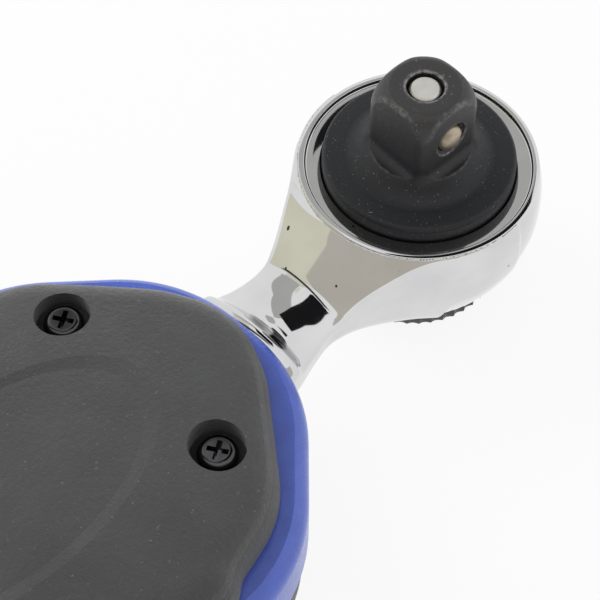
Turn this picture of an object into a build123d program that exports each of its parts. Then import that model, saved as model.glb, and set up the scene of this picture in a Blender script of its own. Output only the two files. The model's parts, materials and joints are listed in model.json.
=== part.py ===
from build123d import *
import math
import os

# Digital torque wrench, 1/2 in drive. Millimetres.
# Origin on the drive axis at the socket seat, +Z out of the drive, handle towards -X.
os.makedirs("parts", exist_ok=True)

# Square drive
DRIVE_AF = 12.65
DRIVE_CORNER_R = 1.8
DRIVE_LENGTH = 15.5
DRIVE_END_R = 3.2
DRIVE_END_REACH = 8.35
DRIVE_END_DROP = 1.8
DRIVE_TURN = -4
BALL_R = 2.35
BALL_Z = 8.6
BALL_OUT = 4.9
BALL_TURN = 266
RELEASE_PIN_R = 2.45
RELEASE_TRAVEL = 3.0
RELEASE_HOLE_R = 2.55
RELEASE_WAIST_R = 1.13
END_HOLE_R = 2.95
END_HOLE_DEPTH = 2.0
BALL_RIM_R = 3.1
BALL_RIM_DEPTH = 0.35

# Ratchet head
RIM_Z = -2.4
RIM_R = 19.4
RIM_FILLET_R = 0.6
DRUM_R = 20.3
DRUM_MID_Z = -11.5
DRUM_FOOT_FILLET_R = 1.6
DRUM_FOOT_R = 19.2
DRUM_FOOT_Z = -19.6
HEAD_BOTTOM_R = 17.6
HEAD_BOTTOM_Z = -23.4
STEP_R = 18.05
STEP_Z = -3.1
BORE_R = 16.65
CLIP_TOP_Z = -3.5
CLIP_FLOOR_Z = -4.7
CLIP_GROOVE_R = 17.4
CLIP_THICKNESS = 1.1
CLIP_GAP = (-78, -60)
GEAR_TOP_Z = -6.2
GEAR_FLOOR_Z = -17.4
TEETH = 72
TOOTH_ROOT_R = 15.8
TOOTH_TIP_R = 15.0
JOURNAL_R = 9.0
RUNNING_GAP = 0.05
END_GAP = 0.15
SEATING_GAP = 0.02

# Anvil
BOSS_R = 9.2
BOSS_HEIGHT = 2.3
BOSS_FOOT_R = 12.2
FLANGE_TOP_R = 15.35
FLANGE_R = 15.9
FLANGE_CHAMFER = 0.7
SHOULDER_R = BORE_R - RUNNING_GAP
CARRIER_R = 14.4
POCKET_R = 9.1
POCKET_TOP_Z = -7.2
POCKET_FLOOR_Z = -16.2
POCKET_HALF_TURN = 111
CAM_HALF_TURN = 42

# Pawls: one each side of the +X line, pivoted in the anvil
PAWL_PIVOT_R = 12.4
PAWL_PIVOT_TURN = 97
PAWL_TOOTH_TURN = 55
PAWL_SWING = 8
PAWL_TOOTH_GAP = 0.16
PAWL_INNER_R = 10.9
PAWL_BACK_R = 14.2
PAWL_TOP_Z = -7.5
PAWL_FLOOR_Z = -15.9
PAWL_PIN_R = 0.9
PAWL_PIN_SEAT = 0.6
PAWL_EYE_R = 1.9

# Selector under the head, with the release button in its middle
STEM_R = 4.2
STEM_BORE_R = 2.6
SPRING_BORE_R = 3.4
SPRING_SEAT_Z = -17.0
DIAL_R = 13.7
DIAL_TOP_Z = -23.6
DIAL_BOTTOM_Z = -27.6
DIAL_SCALLOPS = 46
SCALLOP_R = 0.7
SELECTOR_SWING = 40
FINGER_HALF_TURN = 9
FINGER_REACH = 8.7
BUTTON_WELL_R = 5.0
RELEASE_BUTTON_R = 4.7
BUTTON_STEM_R = 2.0

# Neck and shank
NECK_WAIST_Y = 7.9
NECK_BOTTOM_Z = -19.4
FOOT_X = -36.0
RIDGE_X = -38.3
RIDGE_Z = -7.2
COLLAR_TOP_Z = -9.9
COLLAR_Y = 10.9
NECK_END_X = -45.0
NECK_FILLET_R = 2.2
NECK_FOOT_FILLET_R = 1.2
SHANK_WIDTH = 10
SHANK_HEIGHT = 9
SHANK_END_X = -60.0
SHANK_PIN_X = -54.0
CROSS_PIN_R = 2.0
AXIS_Z = -12.9

# Housing, seen in plan
CROWN_Z = 5.6
PART_Z = -4.0
BAND_FLOOR_Z = -15.5
FACE_Z = -29.8
REST_Z = -31.4
WALL = 2.4
SHELL_EDGE_R = 6.0
MOUTH_WIDTH = 22.4
MOUTH_HEIGHT = 13.7
MOUTH_Z = -13.75
LABEL_X = -88
LABEL_HALF_LENGTH = 26.5
LABEL_HALF_WIDTH = 14.5
LABEL_DEPTH = 0.35
DOME_R = 165
DOME_LONG_R = 400
DOME_X = -98
TAIL_X = -152
TAIL_CAVITY_X = -131
SCREW_PLACES = ((-61.5, 16.1), (-61.5, -16.1), (-110, 17), (-110, -17))
SCREW_SEAT_Z = -0.3
SCREW_HEAD_R = 3.0
SCREW_HEAD_HEIGHT = 2.0
SCREW_R = 1.5
SCREW_DEPTH = 11
RECESS_R = 4.2
BOSS_WALL = 1.6
POST_R = 3.4
BAND_FILLET_R = 4.0
BAND_WALL = 5.4
FRONT_INSET = 0.8
FRONT_FILLET_R = 7.0

# Handle
TUBE_R = 12.5
TUBE_BORE_R = 10.5
TUBE_START_X = -128
TUBE_END_X = -412
GRIP_START_X = -266
GRIP_R = AXIS_Z - REST_Z
FLUTES = 18
FLUTE_R = 1.3
FLUTE_START_X = -278
FLUTE_END_X = -398
CELL_R = 7.2
CELL_LENGTH = 50.0
CELL_START_X = -303
CAP_R = 15.4
CAP_LENGTH = 12.0
CAP_PLUG_LENGTH = 3.5
CAP_KNURLS = 30
CONTACT_R = 8.2
HANDLE_PLANE = Plane(origin=(0, 0, AXIS_Z), x_dir=(1, 0, 0), z_dir=(0, -1, 0))
HANDLE_AXIS = Axis((0, 0, AXIS_Z), (1, 0, 0))


def polar(radius, turn):
    """Point at a radius and an angle in degrees."""
    return radius * math.cos(math.radians(turn)), radius * math.sin(math.radians(turn))


def wedge(start, end, reach=40):
    """Corner points of a wedge about the origin, between two angles."""
    steps = 8
    rim = [polar(reach, start + (end - start) * i / steps) for i in range(steps + 1)]
    return [(0, 0)] + rim


def tube_plane(x):
    """Plane across the handle axis at x, drawing Y to the right and Z up."""
    return Plane(origin=(x, 0, AXIS_Z), x_dir=(0, 1, 0), z_dir=(1, 0, 0))


def save(part, name):
    """Label a finished piece and write it out."""
    part.label = name
    export_step(part, f"parts/{name}.step")


# Neck blank: waisted plan, with the scooped top and bottom turned about the drive axis
with BuildPart() as neck_blank:
    with BuildSketch(Plane.XY.offset(HEAD_BOTTOM_Z)):
        with BuildLine():
            side = Spline(
                (-8.0, 17.2), (-14.0, 13.3), (-20.0, 9.9), (-28.0, NECK_WAIST_Y), (-33.0, 8.8),
                (-38.0, 10.0), (NECK_END_X, COLLAR_Y)
            )
            Polyline(side @ 1, (NECK_END_X, 0), (-8.0, 0), side @ 0)
        make_face()
        mirror(about=Plane.XZ)
    extrude(amount=RIM_Z - HEAD_BOTTOM_Z)
    with BuildSketch(Plane.XZ):
        with BuildLine():
            top = Spline(
                (-RIM_R, RIM_Z - 0.1), (-22.6, -5.5), (-26.0, -8.2), (-29.8, -9.6), (-34.0, -9.1),
                (RIDGE_X, RIDGE_Z), (RIDGE_X - 3.7, RIDGE_Z - 1.0), (NECK_END_X - 3.5, COLLAR_TOP_Z)
            )
            foot = Spline(
                (FOOT_X, NECK_BOTTOM_Z), (-28.0, NECK_BOTTOM_Z + 0.4), (-22.0, -21.0), (-17.0, -23.3),
                tangents=((1, 0), (1, -0.5))
            )
            Polyline(top @ 1, (NECK_END_X - 3.5, NECK_BOTTOM_Z), foot @ 0)
            Polyline(foot @ 1, (-5.0, -23.3), (-5.0, RIM_Z - 0.1), top @ 0)
        make_face()
    revolve(axis=Axis.Z, mode=Mode.INTERSECT)
    flank_edges = neck_blank.edges().filter_by(GeomType.BSPLINE).filter_by(lambda e: e.center().X < -12)
    fillet(flank_edges.filter_by(lambda e: e.center().Z > AXIS_Z), radius=NECK_FILLET_R)
    foot_edges = neck_blank.edges().filter_by(lambda e: e.length > 20 and e.center().Z < AXIS_Z - 6)
    fillet(foot_edges.filter_by(lambda e: 9 < abs(e.center().Y) < 10), radius=NECK_FOOT_FILLET_R)

# Ratchet head: barrel-shaped drum, neck, shank, bored pocket with an internal tooth ring
with BuildPart() as ratchet_head:
    with BuildSketch(Plane.XZ):
        with BuildLine():
            barrel = ThreePointArc((RIM_R, RIM_Z), (DRUM_R, DRUM_MID_Z), (DRUM_FOOT_R, DRUM_FOOT_Z))
            Polyline(barrel @ 1, (HEAD_BOTTOM_R, HEAD_BOTTOM_Z), (0, HEAD_BOTTOM_Z), (0, RIM_Z), barrel @ 0)
        make_face()
    revolve(axis=Axis.Z)
    foot_edges = ratchet_head.edges().filter_by(GeomType.CIRCLE).group_by(Axis.Z)
    fillet(foot_edges[0] + foot_edges[1], radius=DRUM_FOOT_FILLET_R)
    fillet(ratchet_head.edges().filter_by(GeomType.CIRCLE).group_by(Axis.Z)[-1], radius=RIM_FILLET_R)
    add(neck_blank.part)
    with BuildSketch(Plane.YZ.offset(NECK_END_X)):
        with Locations((0, AXIS_Z)):
            RectangleRounded(SHANK_WIDTH, SHANK_HEIGHT, 1)
    extrude(amount=SHANK_END_X - NECK_END_X)
    with BuildSketch(Plane.XZ):
        with BuildLine():
            Polyline(
                (0, 2), (STEP_R, 2), (STEP_R, STEP_Z), (BORE_R, STEP_Z), (BORE_R, CLIP_TOP_Z),
                (CLIP_GROOVE_R, CLIP_TOP_Z), (CLIP_GROOVE_R, CLIP_FLOOR_Z), (BORE_R, CLIP_FLOOR_Z),
                (BORE_R, GEAR_TOP_Z), (JOURNAL_R + RUNNING_GAP, GEAR_TOP_Z),
                (JOURNAL_R + RUNNING_GAP, HEAD_BOTTOM_Z - 1), (0, HEAD_BOTTOM_Z - 1), close=True
            )
        make_face()
    revolve(axis=Axis.Z, mode=Mode.SUBTRACT)
    pitch = 360 / TEETH
    ring = []
    for i in range(TEETH):
        ring.append(polar(TOOTH_ROOT_R, i * pitch))
        ring.append(polar(TOOTH_TIP_R, (i + 0.5) * pitch))
    with BuildSketch(Plane.XY.offset(GEAR_FLOOR_Z)):
        with BuildLine():
            Polyline(*ring, close=True)
        make_face()
    extrude(amount=GEAR_TOP_Z - GEAR_FLOOR_Z, mode=Mode.SUBTRACT)
    with Locations(Plane((SHANK_PIN_X, 0, AXIS_Z), z_dir=(0, 1, 0))):
        Cylinder(CROSS_PIN_R, 12, mode=Mode.SUBTRACT)
save(ratchet_head.part, "ratchet_head")

# Retaining ring: open C of flat wire in the bore groove, gap towards the neck side
with BuildPart() as retaining_ring:
    with BuildSketch(Plane.XY.offset(CLIP_FLOOR_Z)):
        Circle(CLIP_GROOVE_R - SEATING_GAP)
        Circle(FLANGE_R + 0.3, mode=Mode.SUBTRACT)
        Polygon(*wedge(*CLIP_GAP), align=None, mode=Mode.SUBTRACT)
    extrude(amount=CLIP_THICKNESS)
save(retaining_ring.part, "retaining_ring")

# Drive anvil: flange, pawl carrier and square drive in one forging
with BuildPart() as drive_anvil:
    with BuildSketch(Plane.XZ):
        with BuildLine():
            blend = ThreePointArc((BOSS_R, BOSS_HEIGHT), (BOSS_R + 1.0, 0.65), (BOSS_FOOT_R, 0))
            Polyline(
                blend @ 1, (FLANGE_TOP_R, 0), (FLANGE_R, -FLANGE_CHAMFER),
                (FLANGE_R, CLIP_FLOOR_Z - END_GAP), (SHOULDER_R, CLIP_FLOOR_Z - END_GAP),
                (SHOULDER_R, GEAR_TOP_Z + END_GAP),
                (CARRIER_R, GEAR_TOP_Z + END_GAP), (CARRIER_R, GEAR_FLOOR_Z + END_GAP),
                (JOURNAL_R, GEAR_FLOOR_Z + END_GAP), (JOURNAL_R, HEAD_BOTTOM_Z + 0.1),
                (0, HEAD_BOTTOM_Z + 0.1), (0, BOSS_HEIGHT), blend @ 0
            )
        make_face()
    revolve(axis=Axis.Z)
    with BuildSketch(Plane.XY):
        RectangleRounded(DRIVE_AF, DRIVE_AF, DRIVE_CORNER_R, rotation=DRIVE_TURN)
    extrude(amount=DRIVE_LENGTH)
    with BuildSketch(Plane.XZ):
        with BuildLine():
            end_arc = ThreePointArc(
                (DRIVE_END_R, DRIVE_LENGTH), (5.9, DRIVE_LENGTH - 0.45),
                (DRIVE_END_REACH, DRIVE_LENGTH - DRIVE_END_DROP)
            )
            Polyline(
                end_arc @ 1, (12, DRIVE_LENGTH - DRIVE_END_DROP), (12, DRIVE_LENGTH + 1),
                (DRIVE_END_R, DRIVE_LENGTH + 1), end_arc @ 0
            )
        make_face()
    revolve(axis=Axis.Z, mode=Mode.SUBTRACT)
    # Pocket for the pawls and slot for the cam, open to the teeth
    with BuildSketch(Plane.XY.offset(POCKET_FLOOR_Z)):
        Polygon(*wedge(-POCKET_HALF_TURN, POCKET_HALF_TURN), align=None)
        Circle(POCKET_R, mode=Mode.SUBTRACT)
    extrude(amount=POCKET_TOP_Z - POCKET_FLOOR_Z, mode=Mode.SUBTRACT)
    with BuildSketch(Plane.XY.offset(POCKET_FLOOR_Z)):
        Polygon(*wedge(-CAM_HALF_TURN, CAM_HALF_TURN, POCKET_R + 1), align=None)
    extrude(amount=POCKET_TOP_Z - POCKET_FLOOR_Z, mode=Mode.SUBTRACT)
    # Bores down the axis for the selector stem and the release pin
    with BuildSketch(Plane.XY.offset(HEAD_BOTTOM_Z)):
        Circle(STEM_R + RUNNING_GAP)
    extrude(amount=POCKET_TOP_Z - HEAD_BOTTOM_Z, mode=Mode.SUBTRACT)
    with BuildSketch(Plane.XY.offset(POCKET_TOP_Z)):
        Circle(RELEASE_HOLE_R)
    extrude(amount=DRIVE_LENGTH - POCKET_TOP_Z, mode=Mode.SUBTRACT)
    with BuildSketch(Plane.XY.offset(DRIVE_LENGTH - END_HOLE_DEPTH)):
        Circle(END_HOLE_R)
    extrude(amount=END_HOLE_DEPTH, mode=Mode.SUBTRACT)
    # Cross bore and staked rim for the detent ball
    ball_way = Plane((0, 0, BALL_Z), z_dir=(*polar(1, BALL_TURN), 0))
    with BuildSketch(ball_way):
        Circle(BALL_R + RUNNING_GAP)
    extrude(amount=DRIVE_AF, mode=Mode.SUBTRACT)
    with BuildSketch(ball_way.offset(DRIVE_AF / 2 - BALL_RIM_DEPTH)):
        Circle(BALL_RIM_R)
    extrude(amount=2, mode=Mode.SUBTRACT, taper=-20)
    # Pin holes for the pawls
    for side in (1, -1):
        with BuildSketch(Plane.XY.offset(POCKET_FLOOR_Z - PAWL_PIN_SEAT)):
            with Locations(polar(PAWL_PIVOT_R, side * PAWL_PIVOT_TURN)):
                Circle(PAWL_PIN_R)
        extrude(amount=POCKET_TOP_Z - POCKET_FLOOR_Z + 2 * PAWL_PIN_SEAT, mode=Mode.SUBTRACT)
save(drive_anvil.part, "drive_anvil")

# Detent ball
with BuildPart() as detent_ball:
    ball_x, ball_y = polar(BALL_OUT, BALL_TURN)
    with Locations((ball_x, ball_y, BALL_Z)):
        Sphere(BALL_R)
save(detent_ball.part, "detent_ball")

# Release pin: turned rod with a conical ramp that lets the ball in when it is pushed
with BuildPart() as release_pin:
    with BuildSketch(Plane.XZ):
        with BuildLine():
            Polyline(
                (0, DRIVE_LENGTH - 0.3), (RELEASE_PIN_R - 0.3, DRIVE_LENGTH - 0.3),
                (RELEASE_PIN_R, DRIVE_LENGTH - 0.6), (RELEASE_PIN_R, BALL_Z + 0.4),
                (RELEASE_WAIST_R, BALL_Z - RELEASE_TRAVEL), (RELEASE_WAIST_R, BALL_Z - RELEASE_TRAVEL - 3.0),
                (RELEASE_PIN_R, BALL_Z - RELEASE_TRAVEL - 4.4), (RELEASE_PIN_R, SPRING_SEAT_Z + 1),
                (BUTTON_STEM_R, SPRING_SEAT_Z + 0.5), (BUTTON_STEM_R, DIAL_BOTTOM_Z + 1.0),
                (0, DIAL_BOTTOM_Z + 1.0), close=True
            )
        make_face()
    revolve(axis=Axis.Z)
save(release_pin.part, "release_pin")

# Release button: domed cap on the lower end of the pin
with BuildPart() as release_button:
    with BuildSketch(Plane.XZ):
        with BuildLine():
            crown = ThreePointArc((0, DIAL_BOTTOM_Z - 2.0), (2.4, DIAL_BOTTOM_Z - 1.8), (4.2, DIAL_BOTTOM_Z - 1.1))
            Polyline(
                crown @ 1, (RELEASE_BUTTON_R, DIAL_BOTTOM_Z - 0.4), (RELEASE_BUTTON_R, DIAL_BOTTOM_Z + 0.4),
                (BUTTON_STEM_R, DIAL_BOTTOM_Z + 0.4), (BUTTON_STEM_R, DIAL_BOTTOM_Z + 1.0),
                (0, DIAL_BOTTOM_Z + 1.0), crown @ 0
            )
        make_face()
    revolve(axis=Axis.Z)
    with BuildSketch(Plane.XY.offset(DIAL_BOTTOM_Z - 0.2)):
        Circle(BUTTON_STEM_R)
    extrude(amount=1.2, mode=Mode.SUBTRACT)
save(release_button.part, "release_button")

# Selector dial with its stem and cam finger
finger_turn = -SELECTOR_SWING / 2
with BuildPart() as selector_dial:
    with BuildSketch(Plane.XZ):
        with BuildLine():
            Polyline(
                (STEM_BORE_R, POCKET_TOP_Z - 0.5), (STEM_R, POCKET_TOP_Z - 0.5), (STEM_R, DIAL_TOP_Z),
                (DIAL_R - 0.6, DIAL_TOP_Z), (DIAL_R, DIAL_TOP_Z - 0.6), (DIAL_R, DIAL_BOTTOM_Z + 0.8),
                (DIAL_R - 0.8, DIAL_BOTTOM_Z), (BUTTON_WELL_R, DIAL_BOTTOM_Z),
                (BUTTON_WELL_R, DIAL_TOP_Z - 0.2), (SPRING_BORE_R, DIAL_TOP_Z - 0.2),
                (SPRING_BORE_R, SPRING_SEAT_Z), (STEM_BORE_R, SPRING_SEAT_Z), close=True
            )
        make_face()
    revolve(axis=Axis.Z)
    with BuildSketch(Plane.XY.offset(DIAL_BOTTOM_Z)):
        with PolarLocations(DIAL_R + 0.25, DIAL_SCALLOPS):
            Circle(SCALLOP_R)
    extrude(amount=DIAL_TOP_Z - DIAL_BOTTOM_Z, mode=Mode.SUBTRACT)
    with BuildSketch(Plane.XY.offset(PAWL_FLOOR_Z)):
        finger = wedge(finger_turn - FINGER_HALF_TURN, finger_turn + FINGER_HALF_TURN, FINGER_REACH)
        Polygon(*finger, align=None)
        Circle(STEM_R - 0.5, mode=Mode.SUBTRACT)
    extrude(amount=PAWL_TOP_Z - PAWL_FLOOR_Z)
save(selector_dial.part, "selector_dial")


def pawl_outline(side):
    """Outline of a pawl in mesh, on the side given by +1 or -1."""
    points = [polar(PAWL_INNER_R, 42), polar(PAWL_BACK_R, 42.5)]
    for step in range(-2, 3):
        turn = PAWL_TOOTH_TURN + step * 360 / TEETH
        points.append(polar(TOOTH_TIP_R - PAWL_TOOTH_GAP, turn - 180 / TEETH))
        points.append(polar(TOOTH_ROOT_R - PAWL_TOOTH_GAP, turn))
    points.append(polar(TOOTH_TIP_R - PAWL_TOOTH_GAP, PAWL_TOOTH_TURN + 900 / TEETH))
    points.append(polar(PAWL_BACK_R, 70))
    points.append(polar(PAWL_BACK_R, 80))
    points.append(polar(PAWL_BACK_R - 0.1, 92))
    points.append(polar(PAWL_INNER_R - 0.1, 92))
    points.append(polar(PAWL_INNER_R, 70))
    points.append(polar(PAWL_INNER_R, 56))
    return [(x, side * y) for x, y in points]


# Pawls: the left one drives at rest, the right one is held back from the teeth
for name, side, swung in (("pawl_left", 1, 0), ("pawl_right", -1, PAWL_SWING)):
    pivot = polar(PAWL_PIVOT_R, side * PAWL_PIVOT_TURN)
    with BuildPart() as pawl:
        with BuildSketch(Plane.XY.offset(PAWL_FLOOR_Z)):
            Polygon(*pawl_outline(side), align=None)
            with Locations(pivot):
                Circle(PAWL_EYE_R)
                Circle(PAWL_PIN_R + RUNNING_GAP, mode=Mode.SUBTRACT)
        extrude(amount=PAWL_TOP_Z - PAWL_FLOOR_Z)
    save(pawl.part.rotate(Axis((*pivot, 0), (0, 0, 1)), swung), name)

# Pawl pins: two dowels pressed into the anvil
with BuildPart() as pawl_pins:
    with BuildSketch(Plane.XY.offset(POCKET_FLOOR_Z - PAWL_PIN_SEAT)):
        for side in (1, -1):
            with Locations(polar(PAWL_PIVOT_R, side * PAWL_PIVOT_TURN)):
                Circle(PAWL_PIN_R)
    extrude(amount=POCKET_TOP_Z - POCKET_FLOOR_Z + 2 * PAWL_PIN_SEAT)
save(pawl_pins.part, "pawl_pins")


def helix_spring(coil_r, wire_r, height, turns, base):
    """Coil spring standing on a plane, from a helix swept with a three-sided wire."""
    path = Helix(pitch=height / turns, height=height, radius=coil_r)
    start = Plane(origin=path @ 0, z_dir=path % 0)
    wire = start * RegularPolygon(wire_r, 3)
    return base * sweep(wire, path=path, is_frenet=True)


# Release spring round the pin, between the button and the stem
spring_low = DIAL_BOTTOM_Z + 0.9
spring_height = SPRING_SEAT_Z - spring_low - 0.6
release_spring = helix_spring(2.75, 0.35, spring_height, 5, Pos(0, 0, spring_low))
save(release_spring, "release_spring")


def plan_outline(corners):
    """Closed plan outline of a housing part, from the (x, y, radius) corners of one half."""
    upper = [(x, y) for x, y, radius in corners]
    lower = [(x, -y) for x, y in reversed(upper)]
    radii = [radius for x, y, radius in corners]
    with BuildSketch() as sketch:
        with BuildLine():
            FilletPolyline(*upper, *lower, radius=radii + radii[::-1], close=True)
        make_face()
    return sketch.sketch


# Blunt nose, diagonals with a small jog in the back shell, parallel sides, tail
BACK_PLAN = plan_outline((
    (-42.6, 3.8, 14), (-46.2, 11.0, 20), (-60.6, 28.2, 18), (-71.8, 30.9, 4), (-74.6, 33.2, 7),
    (-100, 33.2, 22), (-134, 16, 24), (TAIL_X, 16, 0),
))
BAND_PLAN = plan_outline((
    (-39.8, 13.3, 26), (-62.6, 35.0, 26), (-101, 35.0, 22), (-135, 17.5, 24), (TAIL_X, 17.5, 0),
))
FRONT_PLAN = offset(BAND_PLAN, amount=-FRONT_INSET)


def side_edges(face):
    """Edges round a face, without the straight one across the tail."""
    return face.edges().filter_by(lambda e: e.center().X > TAIL_X + 8)


def domed_block(plan, low, crown, edge_r):
    """Plan outline raised to a crowned top with a large rounded edge."""
    with BuildPart() as block:
        with BuildSketch(Plane.XY.offset(low)):
            add(plan)
        extrude(amount=crown + 4 - low)
        with BuildSketch(Plane.XZ):
            with BuildLine():
                ends = [DOME_X - 90, DOME_X + 90]
                drop = DOME_LONG_R - math.sqrt(DOME_LONG_R ** 2 - 90 ** 2)
                top = ThreePointArc((ends[0], crown - drop), (DOME_X, crown), (ends[1], crown - drop))
                Polyline(top @ 1, (ends[1], crown - DOME_R), (ends[0], crown - DOME_R), top @ 0)
            make_face()
        revolve(axis=Axis((DOME_X, 0, crown - DOME_R), (1, 0, 0)), mode=Mode.INTERSECT)
        top_face = block.faces().sort_by(lambda f: f.center().Z)[-1]
        fillet(side_edges(top_face), radius=edge_r)
    return block.part


def tail_block(low, high):
    """Room inside the tail that stays solid, except for the tube."""
    return Pos(TAIL_CAVITY_X - 30, 0, (low + high) / 2) * Box(60, 80, high - low)


TUBE_WAY = Pos(TAIL_CAVITY_X - 15, 0, AXIS_Z) * Rot(0, 90, 0) * Cylinder(TUBE_R + SEATING_GAP, 40)
NECK_WAY = Pos(-40, 0, MOUTH_Z) * Box(24, MOUTH_WIDTH, MOUTH_HEIGHT)

# Back shell: black, crowned, open underneath, with four screw bosses
back_block = domed_block(BACK_PLAN, -11, CROWN_Z, SHELL_EDGE_R)
inner_plan = offset(BACK_PLAN, amount=-WALL)
back_cavity = domed_block(inner_plan, -12, CROWN_Z - WALL, SHELL_EDGE_R - 2) - tail_block(-20, 10)
with BuildPart() as label_recess:
    with BuildSketch(Plane.XY):
        with Locations((LABEL_X, 0)):
            Ellipse(LABEL_HALF_LENGTH, LABEL_HALF_WIDTH)
    extrude(amount=CROWN_Z + 1)
    add(Pos(0, 0, -LABEL_DEPTH) * back_block, mode=Mode.SUBTRACT)
with BuildPart() as screw_bosses:
    with BuildSketch(Plane.XY.offset(PART_Z)):
        with Locations(*SCREW_PLACES):
            Circle(RECESS_R + BOSS_WALL)
    extrude(amount=CROWN_Z - PART_Z)
    add(back_block, mode=Mode.INTERSECT)
with BuildPart() as back_shell:
    add(back_block)
    add(label_recess.part, mode=Mode.SUBTRACT)
    split(bisect_by=Plane.XY.offset(PART_Z), keep=Keep.TOP)
    add(back_cavity, mode=Mode.SUBTRACT)
    add(screw_bosses.part)
    for place in SCREW_PLACES:
        with BuildSketch(Plane.XY.offset(SCREW_SEAT_Z)):
            with Locations(place):
                Circle(RECESS_R)
        extrude(amount=12, mode=Mode.SUBTRACT)
        with BuildSketch(Plane.XY.offset(PART_Z)):
            with Locations(place):
                Circle(SCREW_R + 0.2)
        extrude(amount=6, mode=Mode.SUBTRACT)
    add(TUBE_WAY, mode=Mode.SUBTRACT)
save(back_shell.part, "back_shell")

# Side band: blue ring between the shells, wider than the back shell
band_cavity = offset(BAND_PLAN, amount=-BAND_WALL)
groove_plan = offset(BAND_PLAN, amount=3) - offset(BACK_PLAN, amount=-0.9)
with BuildPart() as side_band:
    with BuildSketch(Plane.XY.offset(BAND_FLOOR_Z)):
        add(BAND_PLAN)
    extrude(amount=PART_Z - BAND_FLOOR_Z)
    fillet(side_edges(side_band.faces().sort_by(Axis.Z)[-1]), radius=BAND_FILLET_R)
    with BuildSketch(Plane.XY.offset(BAND_FLOOR_Z)):
        add(band_cavity)
        with Locations((TAIL_CAVITY_X - 30, 0)):
            Rectangle(60, 80, mode=Mode.SUBTRACT)
    extrude(amount=PART_Z - BAND_FLOOR_Z, mode=Mode.SUBTRACT)
    with BuildSketch(Plane.XY.offset(PART_Z - 0.5)):
        add(groove_plan)
    extrude(amount=1, mode=Mode.SUBTRACT)
    add(TUBE_WAY, mode=Mode.SUBTRACT)
    add(NECK_WAY, mode=Mode.SUBTRACT)
save(side_band.part, "side_band")

# Front shell: black display-side shell with posts, window and button holes
BUTTON_PLACES = {
    "power_button": (-121, -5.5), "unit_button": (-121, 5.5), "memory_button": (-111.5, 0),
    "up_button": (-111.5, 9.1), "down_button": (-111.5, -9.1),
}
BUTTON_R = 3.4
BUTTON_FLANGE = 0.8
BUTTON_RISE = 0.9
front_cavity = offset(FRONT_PLAN, amount=-WALL - 2.2)
DISPLAY_X = -82
DISPLAY_LENGTH = 44
DISPLAY_WIDTH = 42
WINDOW_LENGTH = 33
WINDOW_WIDTH = 30
BEZEL_SEAT = 1.2
BEZEL_CORNER_R = 7
LED_X = -53
LED_R = 2.0
with BuildPart() as front_shell:
    with BuildSketch(Plane.XY.offset(FACE_Z)):
        add(FRONT_PLAN)
    extrude(amount=BAND_FLOOR_Z - FACE_Z)
    fillet(side_edges(front_shell.faces().sort_by(Axis.Z)[0]), radius=FRONT_FILLET_R)
    with BuildSketch(Plane.XY.offset(FACE_Z + WALL)):
        add(front_cavity)
        with Locations((TAIL_CAVITY_X - 30, 0)):
            Rectangle(60, 80, mode=Mode.SUBTRACT)
    extrude(amount=BAND_FLOOR_Z - FACE_Z, mode=Mode.SUBTRACT)
    for place in SCREW_PLACES:
        with BuildSketch(Plane.XY.offset(FACE_Z + WALL)):
            with Locations(place):
                Circle(POST_R)
        extrude(amount=PART_Z - FACE_Z - WALL)
        with BuildSketch(Plane.XY.offset(PART_Z - SCREW_DEPTH - 1)):
            with Locations(place):
                Circle(SCREW_R)
        extrude(amount=SCREW_DEPTH + 1, mode=Mode.SUBTRACT)
    with BuildSketch(Plane.XY.offset(FACE_Z)):
        with Locations((DISPLAY_X, 0)):
            RectangleRounded(DISPLAY_LENGTH, DISPLAY_WIDTH, BEZEL_CORNER_R)
    extrude(amount=BEZEL_SEAT, mode=Mode.SUBTRACT)
    with BuildSketch(Plane.XY.offset(FACE_Z)):
        with Locations((DISPLAY_X, 0)):
            Rectangle(WINDOW_LENGTH - 2, WINDOW_WIDTH - 2)
    extrude(amount=WALL, mode=Mode.SUBTRACT)
    with BuildSketch(Plane.XY.offset(FACE_Z)):
        for place in BUTTON_PLACES.values():
            with Locations(place):
                Circle(BUTTON_R + 0.25)
        with Locations((LED_X, 0)):
            Circle(LED_R)
    extrude(amount=WALL, mode=Mode.SUBTRACT)
    add(TUBE_WAY, mode=Mode.SUBTRACT)
    add(NECK_WAY, mode=Mode.SUBTRACT)
save(front_shell.part, "front_shell")

# Neck seal: moulded collar round the chrome neck where it enters the housing
with BuildPart() as neck_seal:
    with BuildSketch(Plane.YZ.offset(-46)):
        with Locations((0, MOUTH_Z)):
            RectangleRounded(MOUTH_WIDTH, MOUTH_HEIGHT, 1.5)
    extrude(amount=4.8)
    fillet(neck_seal.faces().sort_by(Axis.X)[-1].edges(), radius=0.3)
    add(ratchet_head.part, mode=Mode.SUBTRACT)
save(neck_seal.part, "neck_seal")

# Housing screws: pan heads with a cross recess
with BuildPart() as housing_screws:
    for place in SCREW_PLACES:
        with BuildSketch(Plane.XY.offset(SCREW_SEAT_Z)):
            with Locations(place):
                Circle(SCREW_HEAD_R)
        extrude(amount=SCREW_HEAD_HEIGHT)
    fillet(housing_screws.faces().group_by(Axis.Z)[-1].edges(), radius=SCREW_HEAD_HEIGHT - 0.8)
    for place in SCREW_PLACES:
        with BuildSketch(Plane.XY.offset(PART_Z - SCREW_DEPTH)):
            with Locations(place):
                Circle(SCREW_R)
        extrude(amount=SCREW_SEAT_Z - PART_Z + SCREW_DEPTH)
        with BuildSketch(Plane.XY.offset(SCREW_SEAT_Z + 0.6)):
            with Locations(place):
                Rectangle(3.2, 0.8, rotation=30)
                Rectangle(0.8, 3.2, rotation=30)
        extrude(amount=2, mode=Mode.SUBTRACT)
save(housing_screws.part, "housing_screws")

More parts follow.
